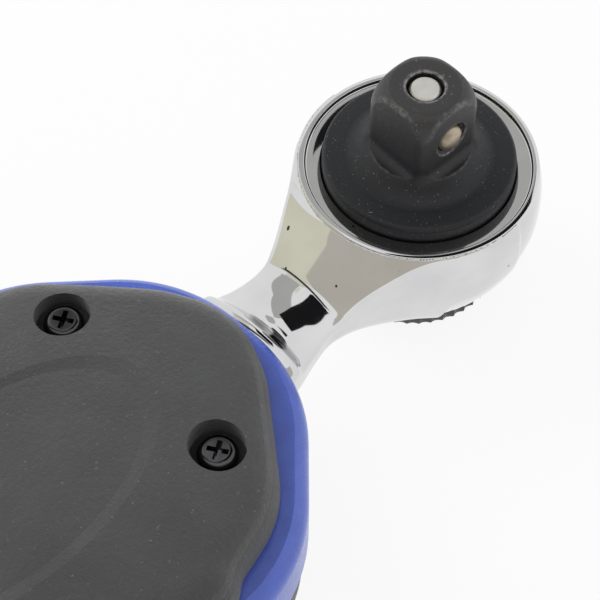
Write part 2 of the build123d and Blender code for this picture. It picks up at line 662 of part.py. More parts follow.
# Display: bezel, lens, panel, backlight
with BuildPart() as display_bezel:
    with BuildSketch(Plane.XY.offset(REST_Z)):
        with Locations((DISPLAY_X, 0)):
            RectangleRounded(DISPLAY_LENGTH, DISPLAY_WIDTH, BEZEL_CORNER_R)
            RectangleRounded(WINDOW_LENGTH, WINDOW_WIDTH, 2, mode=Mode.SUBTRACT)
    extrude(amount=FACE_Z + BEZEL_SEAT - REST_Z)
    rim_edges = display_bezel.faces().sort_by(Axis.Z)[0].outer_wire().edges()
    chamfer(rim_edges, length=0.8)
save(display_bezel.part, "display_bezel")

with BuildPart() as display_lens:
    with BuildSketch(Plane.XY.offset(REST_Z + 0.7)):
        with Locations((DISPLAY_X, 0)):
            RectangleRounded(WINDOW_LENGTH, WINDOW_WIDTH, 2)
    extrude(amount=1.6)
save(display_lens.part, "display_lens")

with BuildPart() as lcd_panel:
    with Locations((DISPLAY_X, 0, FACE_Z + WALL)):
        Box(WINDOW_LENGTH - 2, WINDOW_WIDTH - 2, 2.4)
save(lcd_panel.part, "lcd_panel")

with BuildPart() as backlight:
    with Locations((DISPLAY_X, 0, FACE_Z + WALL + 1.9)):
        Box(WINDOW_LENGTH - 1, WINDOW_WIDTH - 1, 1.4)
save(backlight.part, "backlight")

BOARD_Z = FACE_Z + WALL + 2.6
BOARD_THICKNESS = 1.6
with BuildPart() as circuit_board:
    with BuildSketch(Plane.XY.offset(BOARD_Z)):
        with Locations((-85.5, 0)):
            RectangleRounded(38, 44, 2)
    extrude(amount=BOARD_THICKNESS)
save(circuit_board.part, "circuit_board")

BUZZER_HEIGHT = 3.0
with BuildPart() as buzzer:
    with Locations((-96, 14, BOARD_Z + BOARD_THICKNESS + BUZZER_HEIGHT / 2)):
        Cylinder(5.5, BUZZER_HEIGHT)
        Cylinder(0.9, BUZZER_HEIGHT, mode=Mode.SUBTRACT)
save(buzzer.part, "buzzer")

KEYPAD_X = -116.3
KEYPAD_LENGTH = 19
KEYPAD_WIDTH = 26.4
MEMBRANE_Z = FACE_Z + WALL + 1.2
MEMBRANE_THICKNESS = 0.8
with BuildPart() as keypad_membrane:
    with BuildSketch(Plane.XY.offset(MEMBRANE_Z)):
        with Locations((KEYPAD_X, 0)):
            RectangleRounded(KEYPAD_LENGTH, KEYPAD_WIDTH, 3)
    extrude(amount=MEMBRANE_THICKNESS)
save(keypad_membrane.part, "keypad_membrane")

with BuildPart() as keypad_board:
    with BuildSketch(Plane.XY.offset(MEMBRANE_Z + MEMBRANE_THICKNESS)):
        with Locations((KEYPAD_X, 0)):
            RectangleRounded(KEYPAD_LENGTH, KEYPAD_WIDTH, 3)
    extrude(amount=1.0)
save(keypad_board.part, "keypad_board")

with BuildPart() as led_window:
    with Locations((LED_X, 0, FACE_Z + WALL / 2)):
        Cylinder(LED_R, WALL)
save(led_window.part, "led_window")

# Buttons: capped plungers held by an inner flange
for name, place in BUTTON_PLACES.items():
    with BuildPart() as button:
        with BuildSketch(Plane.XY.offset(FACE_Z - BUTTON_RISE)):
            with Locations(place):
                Circle(BUTTON_R)
        extrude(amount=WALL + BUTTON_RISE)
        fillet(button.faces().sort_by(Axis.Z)[0].edges(), radius=0.6)
        with BuildSketch(Plane.XY.offset(FACE_Z + WALL)):
            with Locations(place):
                Circle(BUTTON_R + BUTTON_FLANGE)
        extrude(amount=0.5)
    save(button.part, name)

# Sensor beam: square steel bar with a waist, mortised for the shank, round at the tube end
BEAM_HALF = 7
WAIST_HALF = 5
BEAM_START_X = -46
BEAM_ROUND_X = -120
TUBE_PIN_PLACES = (-136, -146)
GAUGE_PLACES = (-77, -87)
beam_side = [
    (BEAM_START_X, BEAM_HALF), (-66, BEAM_HALF), (-69, WAIST_HALF), (-95, WAIST_HALF),
    (-98, BEAM_HALF), (BEAM_ROUND_X, BEAM_HALF),
]
with BuildPart() as sensor_beam:
    with BuildSketch(Plane.XY.offset(AXIS_Z - BEAM_HALF)):
        Polygon(*beam_side, *[(x, -y) for x, y in reversed(beam_side)], align=None)
    extrude(amount=2 * BEAM_HALF)
    with BuildSketch(tube_plane(BEAM_ROUND_X)):
        Circle(TUBE_BORE_R)
    extrude(amount=-34)
    add(ratchet_head.part, mode=Mode.SUBTRACT)
    with Locations(Plane((SHANK_PIN_X, 0, AXIS_Z), z_dir=(0, 1, 0))):
        Cylinder(CROSS_PIN_R, 16, mode=Mode.SUBTRACT)
    for x in TUBE_PIN_PLACES:
        with Locations((x, 0, AXIS_Z)):
            Cylinder(CROSS_PIN_R, 30, mode=Mode.SUBTRACT)
save(sensor_beam.part, "sensor_beam")

# Strain gauges: four foils bonded to the waist
with BuildPart() as strain_gauges:
    for x in GAUGE_PLACES:
        for y in (WAIST_HALF + 0.15, -WAIST_HALF - 0.15):
            with Locations((x, y, AXIS_Z)):
                Box(7, 0.3, 5)
save(strain_gauges.part, "strain_gauges")

# Cross pins through the joints of the beam
with BuildPart() as beam_pins:
    with Locations(Plane((SHANK_PIN_X, 0, AXIS_Z), z_dir=(0, 1, 0))):
        Cylinder(CROSS_PIN_R, 2 * BEAM_HALF)
    for x in TUBE_PIN_PLACES:
        with Locations((x, 0, AXIS_Z)):
            Cylinder(CROSS_PIN_R, 2 * TUBE_BORE_R - 1)
save(beam_pins.part, "beam_pins")

# Handle tube
with BuildPart() as handle_tube:
    with BuildSketch(tube_plane(TUBE_START_X)):
        Circle(TUBE_R)
        Circle(TUBE_BORE_R, mode=Mode.SUBTRACT)
    extrude(amount=TUBE_END_X - TUBE_START_X)
save(handle_tube.part, "handle_tube")


def turned(points, name):
    """Piece turned about the handle axis, from (x, radius) points."""
    with BuildPart() as piece:
        with BuildSketch(HANDLE_PLANE):
            with BuildLine():
                Polyline(*points, close=True)
            make_face()
        revolve(axis=HANDLE_AXIS)
    save(piece.part, name)


turned(
    ((TAIL_X, TUBE_R), (TAIL_X, 15.0), (-153, 15.8), (-157, 15.8), (-160, 13.6), (-160, TUBE_R)), "tube_collar"
)
turned(
    ((-262, TUBE_R), (-262, 16.0), (-262.8, 16.8), (GRIP_START_X, 17.2), (GRIP_START_X, TUBE_R)), "grip_ring"
)

# Grip sleeve: swelled rubber with ring beads at both ends and long flutes between them
with BuildPart() as grip_sleeve:
    with BuildSketch(HANDLE_PLANE):
        with BuildLine():
            swell = Spline(
                (-276, 16.4), (-310, 17.2), (-345, 17.4), (-380, 17.0), (-400, 16.8),
                tangents=((-1, 0.0), (-1, 0.0))
            )
            Polyline(
                swell @ 1, (-402, GRIP_R - 0.4), (-403, GRIP_R), (-409, GRIP_R), (-411.5, GRIP_R - 1.5),
                (TUBE_END_X, TUBE_R), (GRIP_START_X, TUBE_R), (GRIP_START_X, GRIP_R - 0.8), (-267, GRIP_R),
                (-272, GRIP_R), (-274, 16.6), swell @ 0
            )
        make_face()
    revolve(axis=HANDLE_AXIS)
    with BuildSketch(tube_plane(FLUTE_START_X)):
        with PolarLocations(GRIP_R - 0.6, FLUTES):
            Circle(FLUTE_R)
    extrude(amount=FLUTE_END_X - FLUTE_START_X, mode=Mode.SUBTRACT)
save(grip_sleeve.part, "grip_sleeve")

# Battery space in the handle
SLEEVE_START_X = CELL_START_X + 3
SLEEVE_END_X = -407
SLEEVE_BORE_R = 8.0
SLEEVE_R = TUBE_BORE_R - 0.1
turned(
    (
        (SLEEVE_START_X, SLEEVE_BORE_R), (SLEEVE_START_X, SLEEVE_R),
        (SLEEVE_END_X, SLEEVE_R), (SLEEVE_END_X, SLEEVE_BORE_R),
    ),
    "battery_sleeve",
)
turned(
    (
        (SLEEVE_START_X, 0), (SLEEVE_START_X, SLEEVE_BORE_R - 0.2), (CELL_START_X + 1, SLEEVE_BORE_R - 0.2),
        (CELL_START_X + 1, 2.5), (CELL_START_X, 2.5), (CELL_START_X, 0),
    ),
    "contact_plate",
)
CELL_TIP_R = 2.7
CELL_TIP_HEIGHT = 1.2
with BuildPart() as batteries:
    for end_x in (CELL_START_X, CELL_START_X - CELL_LENGTH):
        with BuildSketch(tube_plane(end_x)):
            Circle(CELL_TIP_R)
        extrude(amount=-CELL_TIP_HEIGHT)
        with BuildSketch(tube_plane(end_x - CELL_TIP_HEIGHT)):
            Circle(CELL_R)
        extrude(amount=CELL_TIP_HEIGHT + 0.2 - CELL_LENGTH)
save(batteries.part, "batteries")

# Battery cap: coin-slotted plug, with a contact disc and spring that travel with it
with BuildPart() as battery_cap:
    with BuildSketch(tube_plane(TUBE_END_X)):
        Circle(CAP_R)
    extrude(amount=-CAP_LENGTH)
    fillet(battery_cap.faces().sort_by(Axis.X)[0].edges(), radius=2.0)
    with BuildSketch(tube_plane(TUBE_END_X)):
        Circle(TUBE_BORE_R - 0.3)
    extrude(amount=CAP_PLUG_LENGTH)
    with BuildSketch(tube_plane(TUBE_END_X)):
        Circle(CONTACT_R)
    extrude(amount=CAP_PLUG_LENGTH + 0.5, mode=Mode.SUBTRACT)
    with BuildSketch(tube_plane(TUBE_END_X - 2)):
        with PolarLocations(CAP_R + 0.5, CAP_KNURLS):
            Circle(0.9)
    extrude(amount=-CAP_LENGTH, mode=Mode.SUBTRACT)
    with BuildSketch(tube_plane(TUBE_END_X - CAP_LENGTH)):
        Rectangle(16, 2.2)
    extrude(amount=2.4, mode=Mode.SUBTRACT)
save(battery_cap.part, "battery_cap")

with BuildPart() as contact_disc:
    with BuildSketch(tube_plane(TUBE_END_X)):
        Circle(CONTACT_R - 0.1)
    extrude(amount=0.8)
save(contact_disc.part, "contact_disc")

spring_start = Pos(TUBE_END_X + 1.1, 0, AXIS_Z) * Rot(0, 90, 0)
save(helix_spring(5.2, 0.45, 5.2, 3, spring_start), "battery_spring")
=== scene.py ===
import json
import math

import bpy
import numpy as np
from mathutils import Matrix, Vector


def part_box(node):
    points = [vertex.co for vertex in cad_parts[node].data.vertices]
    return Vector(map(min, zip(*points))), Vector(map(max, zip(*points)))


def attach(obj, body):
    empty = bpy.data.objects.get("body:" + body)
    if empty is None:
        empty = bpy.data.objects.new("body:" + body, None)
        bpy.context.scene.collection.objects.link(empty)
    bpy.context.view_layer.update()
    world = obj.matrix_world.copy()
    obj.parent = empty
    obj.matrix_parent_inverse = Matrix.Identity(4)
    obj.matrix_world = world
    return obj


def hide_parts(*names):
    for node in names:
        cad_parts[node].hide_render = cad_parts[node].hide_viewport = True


# Digital torque wrench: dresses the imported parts, lights them and sets the photo's camera.
# The part's lengths are millimetres from the drive axis at the socket seat, and the stage's are metres.
MM = 0.001

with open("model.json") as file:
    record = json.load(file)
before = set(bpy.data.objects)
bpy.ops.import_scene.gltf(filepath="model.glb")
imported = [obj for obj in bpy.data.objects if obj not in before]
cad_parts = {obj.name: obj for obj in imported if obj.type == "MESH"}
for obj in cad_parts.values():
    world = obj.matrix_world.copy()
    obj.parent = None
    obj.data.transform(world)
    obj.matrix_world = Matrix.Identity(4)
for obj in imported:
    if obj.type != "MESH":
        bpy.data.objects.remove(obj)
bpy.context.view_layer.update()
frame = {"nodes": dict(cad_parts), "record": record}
nodes = frame["nodes"]

RIM_Z = -2.4
REST_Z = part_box("display_bezel")[0].z / MM
AXIS_Z = -12.9


# Camera fitted to the photograph
CAMERA_TARGET_SHIFT = (19.01, 22.22)
CAMERA_DISTANCE = 288.27
CAMERA_ELEVATION = 55.10
CAMERA_AZIMUTH = -46.82
CAMERA_ROLL = 0.34
CAMERA_FOCAL_PIXELS = 1800
CAMERA_CLIP = 10 * MM
IMAGE_SIDE = 600
SENSOR_SIDE = 36


def place_camera():
    """Camera at the photograph's angle, distance and field of view."""
    azimuth = math.radians(CAMERA_AZIMUTH)
    elevation = math.radians(CAMERA_ELEVATION)
    roll = math.radians(CAMERA_ROLL)
    back = Vector((
        math.sin(azimuth) * math.cos(elevation),
        -math.cos(azimuth) * math.cos(elevation),
        math.sin(elevation),
    ))
    level = Vector((math.cos(azimuth), math.sin(azimuth), 0))
    up = back.cross(level)
    right = math.cos(roll) * level + math.sin(roll) * up
    above = -math.sin(roll) * level + math.cos(roll) * up
    place = back * CAMERA_DISTANCE - right * CAMERA_TARGET_SHIFT[0] - above * CAMERA_TARGET_SHIFT[1]
    place += Vector((0, 0, RIM_Z))
    data = bpy.data.cameras.new("photo_camera")
    data.sensor_width = SENSOR_SIDE
    data.lens = SENSOR_SIDE * CAMERA_FOCAL_PIXELS / IMAGE_SIDE
    data.clip_start = CAMERA_CLIP
    camera = bpy.data.objects.new("photo_camera", data)
    bpy.context.scene.collection.objects.link(camera)
    turn = Matrix((right, above, back)).transposed()
    camera.matrix_world = Matrix.Translation(place * MM) @ turn.to_4x4()
    bpy.context.scene.camera = camera


# Node helpers
NOISE_RANGE = (0.3, 0.7)
DUST_RANGE = (0.70, 0.74)
PIT_RANGE = (0.85, 0.865)
GRAIN_DEPTH = 0.02
WHITE = (1, 1, 1)


def new_material(name):
    """Material with a Principled shader; returns the material, its tree and the shader."""
    material = bpy.data.materials.new(name)
    material.use_nodes = True
    tree = material.node_tree
    return material, tree, tree.nodes["Principled BSDF"]


def feed(tree, value, socket):
    """Link an output to a socket, or set a plain value on it."""
    if isinstance(value, bpy.types.NodeSocket):
        tree.links.new(value, socket)
    else:
        socket.default_value = value


def calculated(tree, operation, *values):
    """Math node over outputs or plain numbers."""
    node = tree.nodes.new("ShaderNodeMath")
    node.operation = operation
    for value, socket in zip(values, node.inputs):
        feed(tree, value, socket)
    return node.outputs["Value"]


def mixed(tree, share, first, second, blend="MIX"):
    """Second colour over the first by a share; each is an output or a plain value."""
    node = tree.nodes.new("ShaderNodeMix")
    node.data_type = "RGBA"
    node.blend_type = blend
    for name, value in (("Factor", share), ("A", first), ("B", second)):
        feed(tree, value, node.inputs[name])
    return node.outputs["Result"]


def object_axes(tree):
    """X, Y and Z in object space, in metres."""
    place = tree.nodes.new("ShaderNodeTexCoord")
    split = tree.nodes.new("ShaderNodeSeparateXYZ")
    tree.links.new(place.outputs["Object"], split.inputs["Vector"])
    return split.outputs["X"], split.outputs["Y"], split.outputs["Z"]


def noise(tree, scale, detail=2.0, rough=0.5):
    """Noise in object space; scale counts waves in a millimetre."""
    place = tree.nodes.new("ShaderNodeTexCoord")
    mapping = tree.nodes.new("ShaderNodeMapping")
    mapping.inputs["Scale"].default_value = (1 / MM, 1 / MM, 1 / MM)
    texture = tree.nodes.new("ShaderNodeTexNoise")
    texture.inputs["Scale"].default_value = scale
    texture.inputs["Detail"].default_value = detail
    texture.inputs["Roughness"].default_value = rough
    tree.links.new(place.outputs["Object"], mapping.inputs["Vector"])
    tree.links.new(mapping.outputs["Vector"], texture.inputs["Vector"])
    return texture.outputs["Fac"]


def ramp(tree, value, first, last):
    """Colour ramp over a value, between two stops of (place, colour)."""
    node = tree.nodes.new("ShaderNodeValToRGB")
    for element, (place, colour) in zip(node.color_ramp.elements, (first, last)):
        element.position = place
        element.color = (*colour, 1)
    tree.links.new(value, node.inputs["Fac"])
    return node.outputs["Color"]


def drift(tree, patch, dark, light):
    """Colour that drifts between two tones with a noise."""
    return ramp(tree, patch, (NOISE_RANGE[0], dark), (NOISE_RANGE[1], light))


def mapped(tree, value, source, target=(0, 1)):
    """Value carried from one range to another, clamped."""
    node = tree.nodes.new("ShaderNodeMapRange")
    for name, number in zip(("From Min", "From Max", "To Min", "To Max"), (*source, *target)):
        node.inputs[name].default_value = number
    tree.links.new(value, node.inputs["Value"])
    return node.outputs["Result"]


def add_bump(tree, target, height, strength, distance):
    """Bump of a height on a shader, or under another bump; distance is in millimetres."""
    node = tree.nodes.new("ShaderNodeBump")
    node.inputs["Strength"].default_value = strength
    node.inputs["Distance"].default_value = distance * MM
    tree.links.new(height, node.inputs["Height"])
    tree.links.new(node.outputs["Normal"], target.inputs["Normal"])
    return node


# Materials
LABEL_CENTRE = (-88.0, 0)
LABEL_HALF = (26.5, 14.5)
LABEL_EDGE = (0.93, 1.04)
LABEL_RELIEF = 0.49
SCREW_ROWS = ((-61.5, 16.1), (-110.0, 17.0))
SCREW_RECESS_R = 4.2
# Painted shade in the screw recesses: where its ramp starts, and its dark colour.
PAINTED_SHADE_EDGE = 0.985
PAINTED_RECESS_SHADE = (0.12, 0.12, 0.12)
DUST_GREY = (0.16, 0.16, 0.16, 1)
PIT_GREY = (0.06, 0.06, 0.065, 1)
OXIDE_BLACK = (0.024, 0.025, 0.028)
RUBBED_GREY = (0.30, 0.29, 0.28)
EDGE_POINTINESS = (0.510, 0.540)
RUBBED_HEIGHT = (1 * MM, 5 * MM)
LIGHTER_ABOVE_HEIGHT = (2 * MM, 6 * MM)


def simple(name, colour, roughness, metal=0.0, swing=0.12, grain_scale=1.2, bump=0.15, spread=0.12):
    """Material with a little colour variation, roughness variation and surface grain."""
    material, tree, shader = new_material(name)
    patch = noise(tree, 0.25, 3.0)
    dark = tuple(c * (1 - spread) for c in colour)
    light = tuple(min(1, c * (1 + spread)) for c in colour)
    tree.links.new(drift(tree, patch, dark, light), shader.inputs["Base Color"])
    fine = noise(tree, grain_scale)
    rough = mapped(tree, fine, NOISE_RANGE, (roughness * (1 - swing), min(1, roughness * (1 + swing))))
    tree.links.new(rough, shader.inputs["Roughness"])
    shader.inputs["Metallic"].default_value = metal
    add_bump(tree, shader, fine, bump, GRAIN_DEPTH)
    return material


def plastic_grain(name, colour, roughness, cell=3.0, strength=0.5, depth=0.03):
    """Moulded plastic with a fine eroded texture."""
    material, tree, shader = new_material(name)
    patch = noise(tree, 0.15, 4.0)
    dark = tuple(c * 0.88 for c in colour)
    light = tuple(c * 1.14 for c in colour)
    tree.links.new(drift(tree, patch, dark, light), shader.inputs["Base Color"])
    fine = noise(tree, cell, 4.0, 0.65)
    rough = mapped(tree, fine, NOISE_RANGE, (roughness * 0.9, roughness * 1.1))
    tree.links.new(rough, shader.inputs["Roughness"])
    add_bump(tree, shader, fine, strength, depth)
    return material


def chrome_material():
    """Bright chrome with a faint orange peel and a few small dark marks."""
    material, tree, shader = new_material("chrome")
    shader.inputs["Metallic"].default_value = 1.0
    patch = noise(tree, 0.12, 3.0)
    colour = drift(tree, patch, (0.63, 0.63, 0.64), (0.70, 0.70, 0.705))
    pit = mapped(tree, noise(tree, 0.55, 0.0), PIT_RANGE)
    tree.links.new(mixed(tree, pit, colour, PIT_GREY), shader.inputs["Base Color"])
    tree.links.new(mapped(tree, patch, NOISE_RANGE, (0.03, 0.07)), shader.inputs["Roughness"])
    add_bump(tree, shader, noise(tree, 0.35), 0.08, GRAIN_DEPTH)
    return material


def flat_distance(tree, axes, centre, scale):
    """Distance in the plane from a centre, in units of a scale for each axis."""
    squares = []
    for axis, middle, size in zip(axes, centre, scale):
        away = calculated(tree, "MULTIPLY_ADD", axis, 1 / (size * MM), -middle / size)
        squares.append(calculated(tree, "MULTIPLY", away, away))
    return calculated(tree, "SQRT", calculated(tree, "ADD", *squares))


def shell_plastic():
    """Grained black shell: sunk label field on the back, painted shade in the screw recesses, and dust."""
    material, tree, shader = new_material("black_plastic")
    along, across, up = object_axes(tree)
    aside = calculated(tree, "ABSOLUTE", across)
    colour = drift(tree, noise(tree, 0.12, 4.0), (0.036, 0.037, 0.038), (0.048, 0.049, 0.050))
    # Painted shade: the colour is darkened in a circle round each screw, where the recess lies in shade.
    for middle in SCREW_ROWS:
        away = flat_distance(tree, (along, aside), middle, (SCREW_RECESS_R, SCREW_RECESS_R))
        painted_shade = ramp(tree, away, (PAINTED_SHADE_EDGE, PAINTED_RECESS_SHADE), (1.0, WHITE))
        colour = mixed(tree, 1.0, colour, painted_shade, "MULTIPLY")
    speck = mapped(tree, noise(tree, 2.2, 2.0, 0.4), DUST_RANGE, (0, 0.7))
    tree.links.new(mixed(tree, speck, colour, DUST_GREY), shader.inputs["Base Color"])
    fine = noise(tree, 1.15, 4.0, 0.75)
    tree.links.new(mapped(tree, fine, NOISE_RANGE, (0.44, 0.62)), shader.inputs["Roughness"])
    shader.inputs["Sheen Weight"].default_value = 0.2
    shader.inputs["Sheen Roughness"].default_value = 0.6
    label = flat_distance(tree, (along, across), LABEL_CENTRE, LABEL_HALF)
    outside = mapped(tree, label, LABEL_EDGE)
    on_back = mapped(tree, up, (0, MM))
    grain = add_bump(tree, shader, fine, 1.0, 0.26)
    add_bump(tree, grain, calculated(tree, "MULTIPLY", outside, on_back), 1.0, LABEL_RELIEF)
    return material


def worn_black_steel():
    """Black oxide that has rubbed through to grey on the edges, with specks of dust."""
    material, tree, shader = new_material("black_steel")
    shader.inputs["Metallic"].default_value = 0.55
    up = object_axes(tree)[2]
    geometry = tree.nodes.new("ShaderNodeNewGeometry")
    edge = mapped(tree, geometry.outputs["Pointiness"], EDGE_POINTINESS)
    rub = mapped(tree, noise(tree, 1.3, 4.0, 0.7), (0.40, 0.60), (0.1, 1))
    reached = calculated(tree, "MULTIPLY", edge, mapped(tree, up, RUBBED_HEIGHT, (0, 0.9)))
    worn = calculated(tree, "MULTIPLY", reached, rub)
    speck = mapped(tree, noise(tree, 3.2, 2.0, 0.4), DUST_RANGE, (0, 0.6))
    both = calculated(tree, "MAXIMUM", worn, speck)
    # Edge wear and dust, and the colour grows a little lighter from 2 to 6 mm up the drive.
    worn_and_lighter_above = calculated(tree, "ADD", mapped(tree, up, LIGHTER_ABOVE_HEIGHT, (0, 0.12)), both)
    tree.links.new(ramp(tree, worn_and_lighter_above, (0, OXIDE_BLACK), (1, RUBBED_GREY)), shader.inputs["Base Color"])
    fine = noise(tree, 1.6, 3.0, 0.6)
    tree.links.new(mapped(tree, fine, NOISE_RANGE, (0.36, 0.52)), shader.inputs["Roughness"])
    add_bump(tree, shader, fine, 0.25, 0.03)
    return material


def ball_tan_painted_reflection():
    """Slightly speckled metal with a tan tint that is a painted reflection of beige surroundings."""
    return simple(
        "ball_tan_painted_reflection", (0.46, 0.39, 0.30), 0.42,
        metal=0.8, swing=0.24, grain_scale=2.5, bump=0.3, spread=0.3,
    )


MATERIALS = {
    "chrome": chrome_material(),
    "black_steel": worn_black_steel(),
    "dial_steel": simple("dial_steel", (0.055, 0.056, 0.06), 0.45, metal=0.5, bump=0.2),
    "bright_steel": simple("bright_steel", (0.80, 0.79, 0.75), 0.34, metal=1.0, bump=0.1),
    "spring_steel": simple("spring_steel", (0.40, 0.40, 0.41), 0.35, metal=1.0),
    "tool_steel": simple("tool_steel", (0.45, 0.45, 0.46), 0.35, metal=1.0),
    "screw_steel": simple("screw_steel", (0.075, 0.075, 0.08), 0.12, metal=1.0, spread=0.3),
    "black_plastic": shell_plastic(),
    "soft_black": simple("soft_black", (0.012, 0.012, 0.013), 0.5),
    "blue_plastic": simple("blue_plastic", (0.09, 0.15, 0.60), 0.26, bump=0.06, spread=0.08),
    "gloss_black": simple("gloss_black", (0.008, 0.008, 0.009), 0.12, bump=0.02),
    "lens": simple("lens", (0.03, 0.035, 0.04), 0.05, bump=0.01),
    "lcd_glass": simple("lcd_glass", (0.30, 0.36, 0.28), 0.3),
    "white_plastic": simple("white_plastic", (0.75, 0.75, 0.73), 0.5),
    "board_green": simple("board_green", (0.02, 0.16, 0.06), 0.35),
    "silicone": simple("silicone", (0.4, 0.4, 0.41), 0.6),
    "led_clear": simple("led_clear", (0.6, 0.62, 0.64), 0.1),
    "gauge_foil": simple("gauge_foil", (0.6, 0.33, 0.08), 0.35),
    "black_tube": simple("black_tube", (0.018, 0.018, 0.02), 0.38, grain_scale=2.5, bump=0.3),
    "grip_rubber": plastic_grain(
        "grip_rubber", (0.02, 0.02, 0.021), 0.75, cell=1.6, strength=0.6, depth=0.06,
    ),
    "brass": simple("brass", (0.6, 0.44, 0.18), 0.3, metal=1.0),
    "cell_wrap": simple("cell_wrap", (0.06, 0.06, 0.065), 0.25),
    "button_plastic": plastic_grain("button_plastic", (0.22, 0.225, 0.235), 0.55),
    "button_blue": plastic_grain("button_blue", (0.03, 0.07, 0.40), 0.5),
}
CAD_CREASE = 35


def dress_cad_nodes():
    """Give every CAD node its slot's material and smooth shading with crisp edges."""
    slots = {row["node"]: row["material_slot"] for row in frame["record"]["subparts"]}
    for name, node in nodes.items():
        node.data.materials.clear()
        node.data.materials.append(MATERIALS[slots[name]])
        node.data.set_sharp_from_angle(angle=math.radians(CAD_CREASE))


# Mesh tools
SNAP_ROUNDS = 4
SLOPE_REACH = 0.02
LEAST_SLOPE = 1e-6


def link_mesh(name, verts, faces, normals=None, creased=None):
    """Object from vertices in millimetres, with its own normals or creases over an angle in degrees."""
    mesh = bpy.data.meshes.new(name)
    mesh.from_pydata([tuple(v) for v in np.asarray(verts) * MM], [], [tuple(f) for f in faces])
    mesh.update()
    for polygon in mesh.polygons:
        polygon.use_smooth = True
    if normals is not None:
        mesh.normals_split_custom_set_from_vertices([tuple(n) for n in normals])
    if creased is not None:
        mesh.set_sharp_from_angle(angle=math.radians(creased))
    piece = bpy.data.objects.new(name, mesh)
    bpy.context.scene.collection.objects.link(piece)
    return piece


def turned(profile, steps, turn_start=0.0, turn_end=360.0):
    """Vertices and faces of a profile of (radius, z) turned about Z, outside to the right of its way."""
    profile = np.asarray(profile, float)
    closed = turn_end - turn_start >= 360
    count = steps if closed else steps + 1
    turns = np.radians(turn_start + (turn_end - turn_start) * np.arange(count) / steps)
    rings = [
        np.stack([radius * np.cos(turns), radius * np.sin(turns), np.full(count, z)], axis=1)
        for radius, z in profile
    ]
    verts = np.concatenate(rings)
    faces = []
    for i in range(len(profile) - 1):
        for j in range(steps):
            k = (j + 1) % count
            faces.append((i * count + j, (i + 1) * count + j, (i + 1) * count + k, i * count + k))
    return verts, faces


def surface_nets(field, low, high, step):
    """Quads near the zero surface of a field of x, y, z, one vertex in each cell that it crosses."""
    axes = [np.arange(a, b + step, step) for a, b in zip(low, high)]
    values = field(*np.meshgrid(*axes, indexing="ij"))
    inside = values < 0
    shape = [len(axis) - 1 for axis in axes]
    corners = [(i, j, k) for i in (0, 1) for j in (0, 1) for k in (0, 1)]

    def corner(grid, place):
        return grid[tuple(slice(p, p + n) for p, n in zip(place, shape))]

    count = sum(corner(inside, place).astype(np.int8) for place in corners)
    cells = np.argwhere((count > 0) & (count < len(corners)))
    total = np.zeros((len(cells), 3))
    crossings = np.zeros(len(cells))
    for axis in range(3):
        for place in corners:
            if place[axis]:
                continue
            other = tuple(p + (axis == n) for n, p in enumerate(place))
            first = values[tuple((cells + place).T)]
            second = values[tuple((cells + other).T)]
            cut = (first < 0) != (second < 0)
            share = np.where(cut, first / np.where(cut, first - second, 1), 0)
            point = np.tile(np.array(place, float), (len(cells), 1))
            point[:, axis] += share
            total += point * cut[:, None]
            crossings += cut
    verts = np.array(low) + (cells + total / crossings[:, None]) * step
    index = np.full(shape, -1)
    index[tuple(cells.T)] = np.arange(len(cells))
    quads = []
    for axis in range(3):
        u, v = (axis + 1) % 3, (axis + 2) % 3
        near = inside[tuple(slice(1, -1) if n != axis else slice(0, -1) for n in range(3))]
        far = inside[tuple(slice(1, -1) if n != axis else slice(1, None) for n in range(3))]
        edges = np.argwhere(near != far)
        starts = edges + [0 if n == axis else 1 for n in range(3)]
        outward = near[tuple(edges.T)]
        ring = []
        for du, dv in ((0, 0), (1, 0), (1, 1), (0, 1)):
            cell = starts.copy()
            cell[:, u] -= du
            cell[:, v] -= dv
            ring.append(index[tuple(cell.T)])
        ring = np.stack(ring, axis=1)
        quads.append(np.where(outward[:, None], ring, ring[:, ::-1]))
    return verts, np.concatenate(quads)


def gradient(field, points):
    """Unit gradient of a field at points, and its length."""
    slopes = []
    for axis in range(3):
        shift = np.zeros(3)
        shift[axis] = SLOPE_REACH
        ahead = field(*(points + shift).T)
        behind = field(*(points - shift).T)
        slopes.append((ahead - behind) / (2 * SLOPE_REACH))
    slopes = np.stack(slopes, axis=1)
    length = np.maximum(np.linalg.norm(slopes, axis=1), LEAST_SLOPE)
    return slopes / length[:, None], length


def implicit_piece(name, field, low, high, step):
    """Smooth mesh of the surface where a field is zero, with the field's own normals."""
    verts, quads = surface_nets(field, low, high, step)
    for _ in range(SNAP_ROUNDS):
        normals, length = gradient(field, verts)
        move = np.clip(field(*verts.T) / length, -step / 2, step / 2)
        verts = verts - normals * move[:, None]
    normals, _ = gradient(field, verts)
    return link_mesh(name, verts, quads, normals)


def blend_max(a, b, size):
    """Intersection of two fields with a rounded edge."""
    near = np.maximum(size - np.abs(a - b), 0) / size
    return np.maximum(a, b) + near * near * size / 4


def blend_min(a, b, size):
    """Union of two fields with a rounded valley."""
    return -blend_max(-a, -b, size)


def slab(a, low, high):
    """Field between two values."""
    return np.maximum(low - a, a - high)


def fade(value, start, end):
    """Nought at the start and one at the end, straight between them and level beyond."""
    return np.clip((value - start) / (end - start), 0, 1)


def joined(name, pieces):
    """One object out of several."""
    bpy.ops.object.select_all(action="DESELECT")
    for piece in pieces:
        piece.select_set(True)
    bpy.context.view_layer.objects.active = pieces[0]
    bpy.ops.object.join()
    pieces[0].name = name
    pieces[0].data.name = name
    return pieces[0]


def finish_piece(piece, body, slot, *replaced):
    """Material, slot and body of a piece, and the CAD nodes that it stands for."""
    piece.data.materials.clear()
    piece.data.materials.append(MATERIALS[slot])
    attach(piece, body)
    if replaced:
        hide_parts(*replaced)


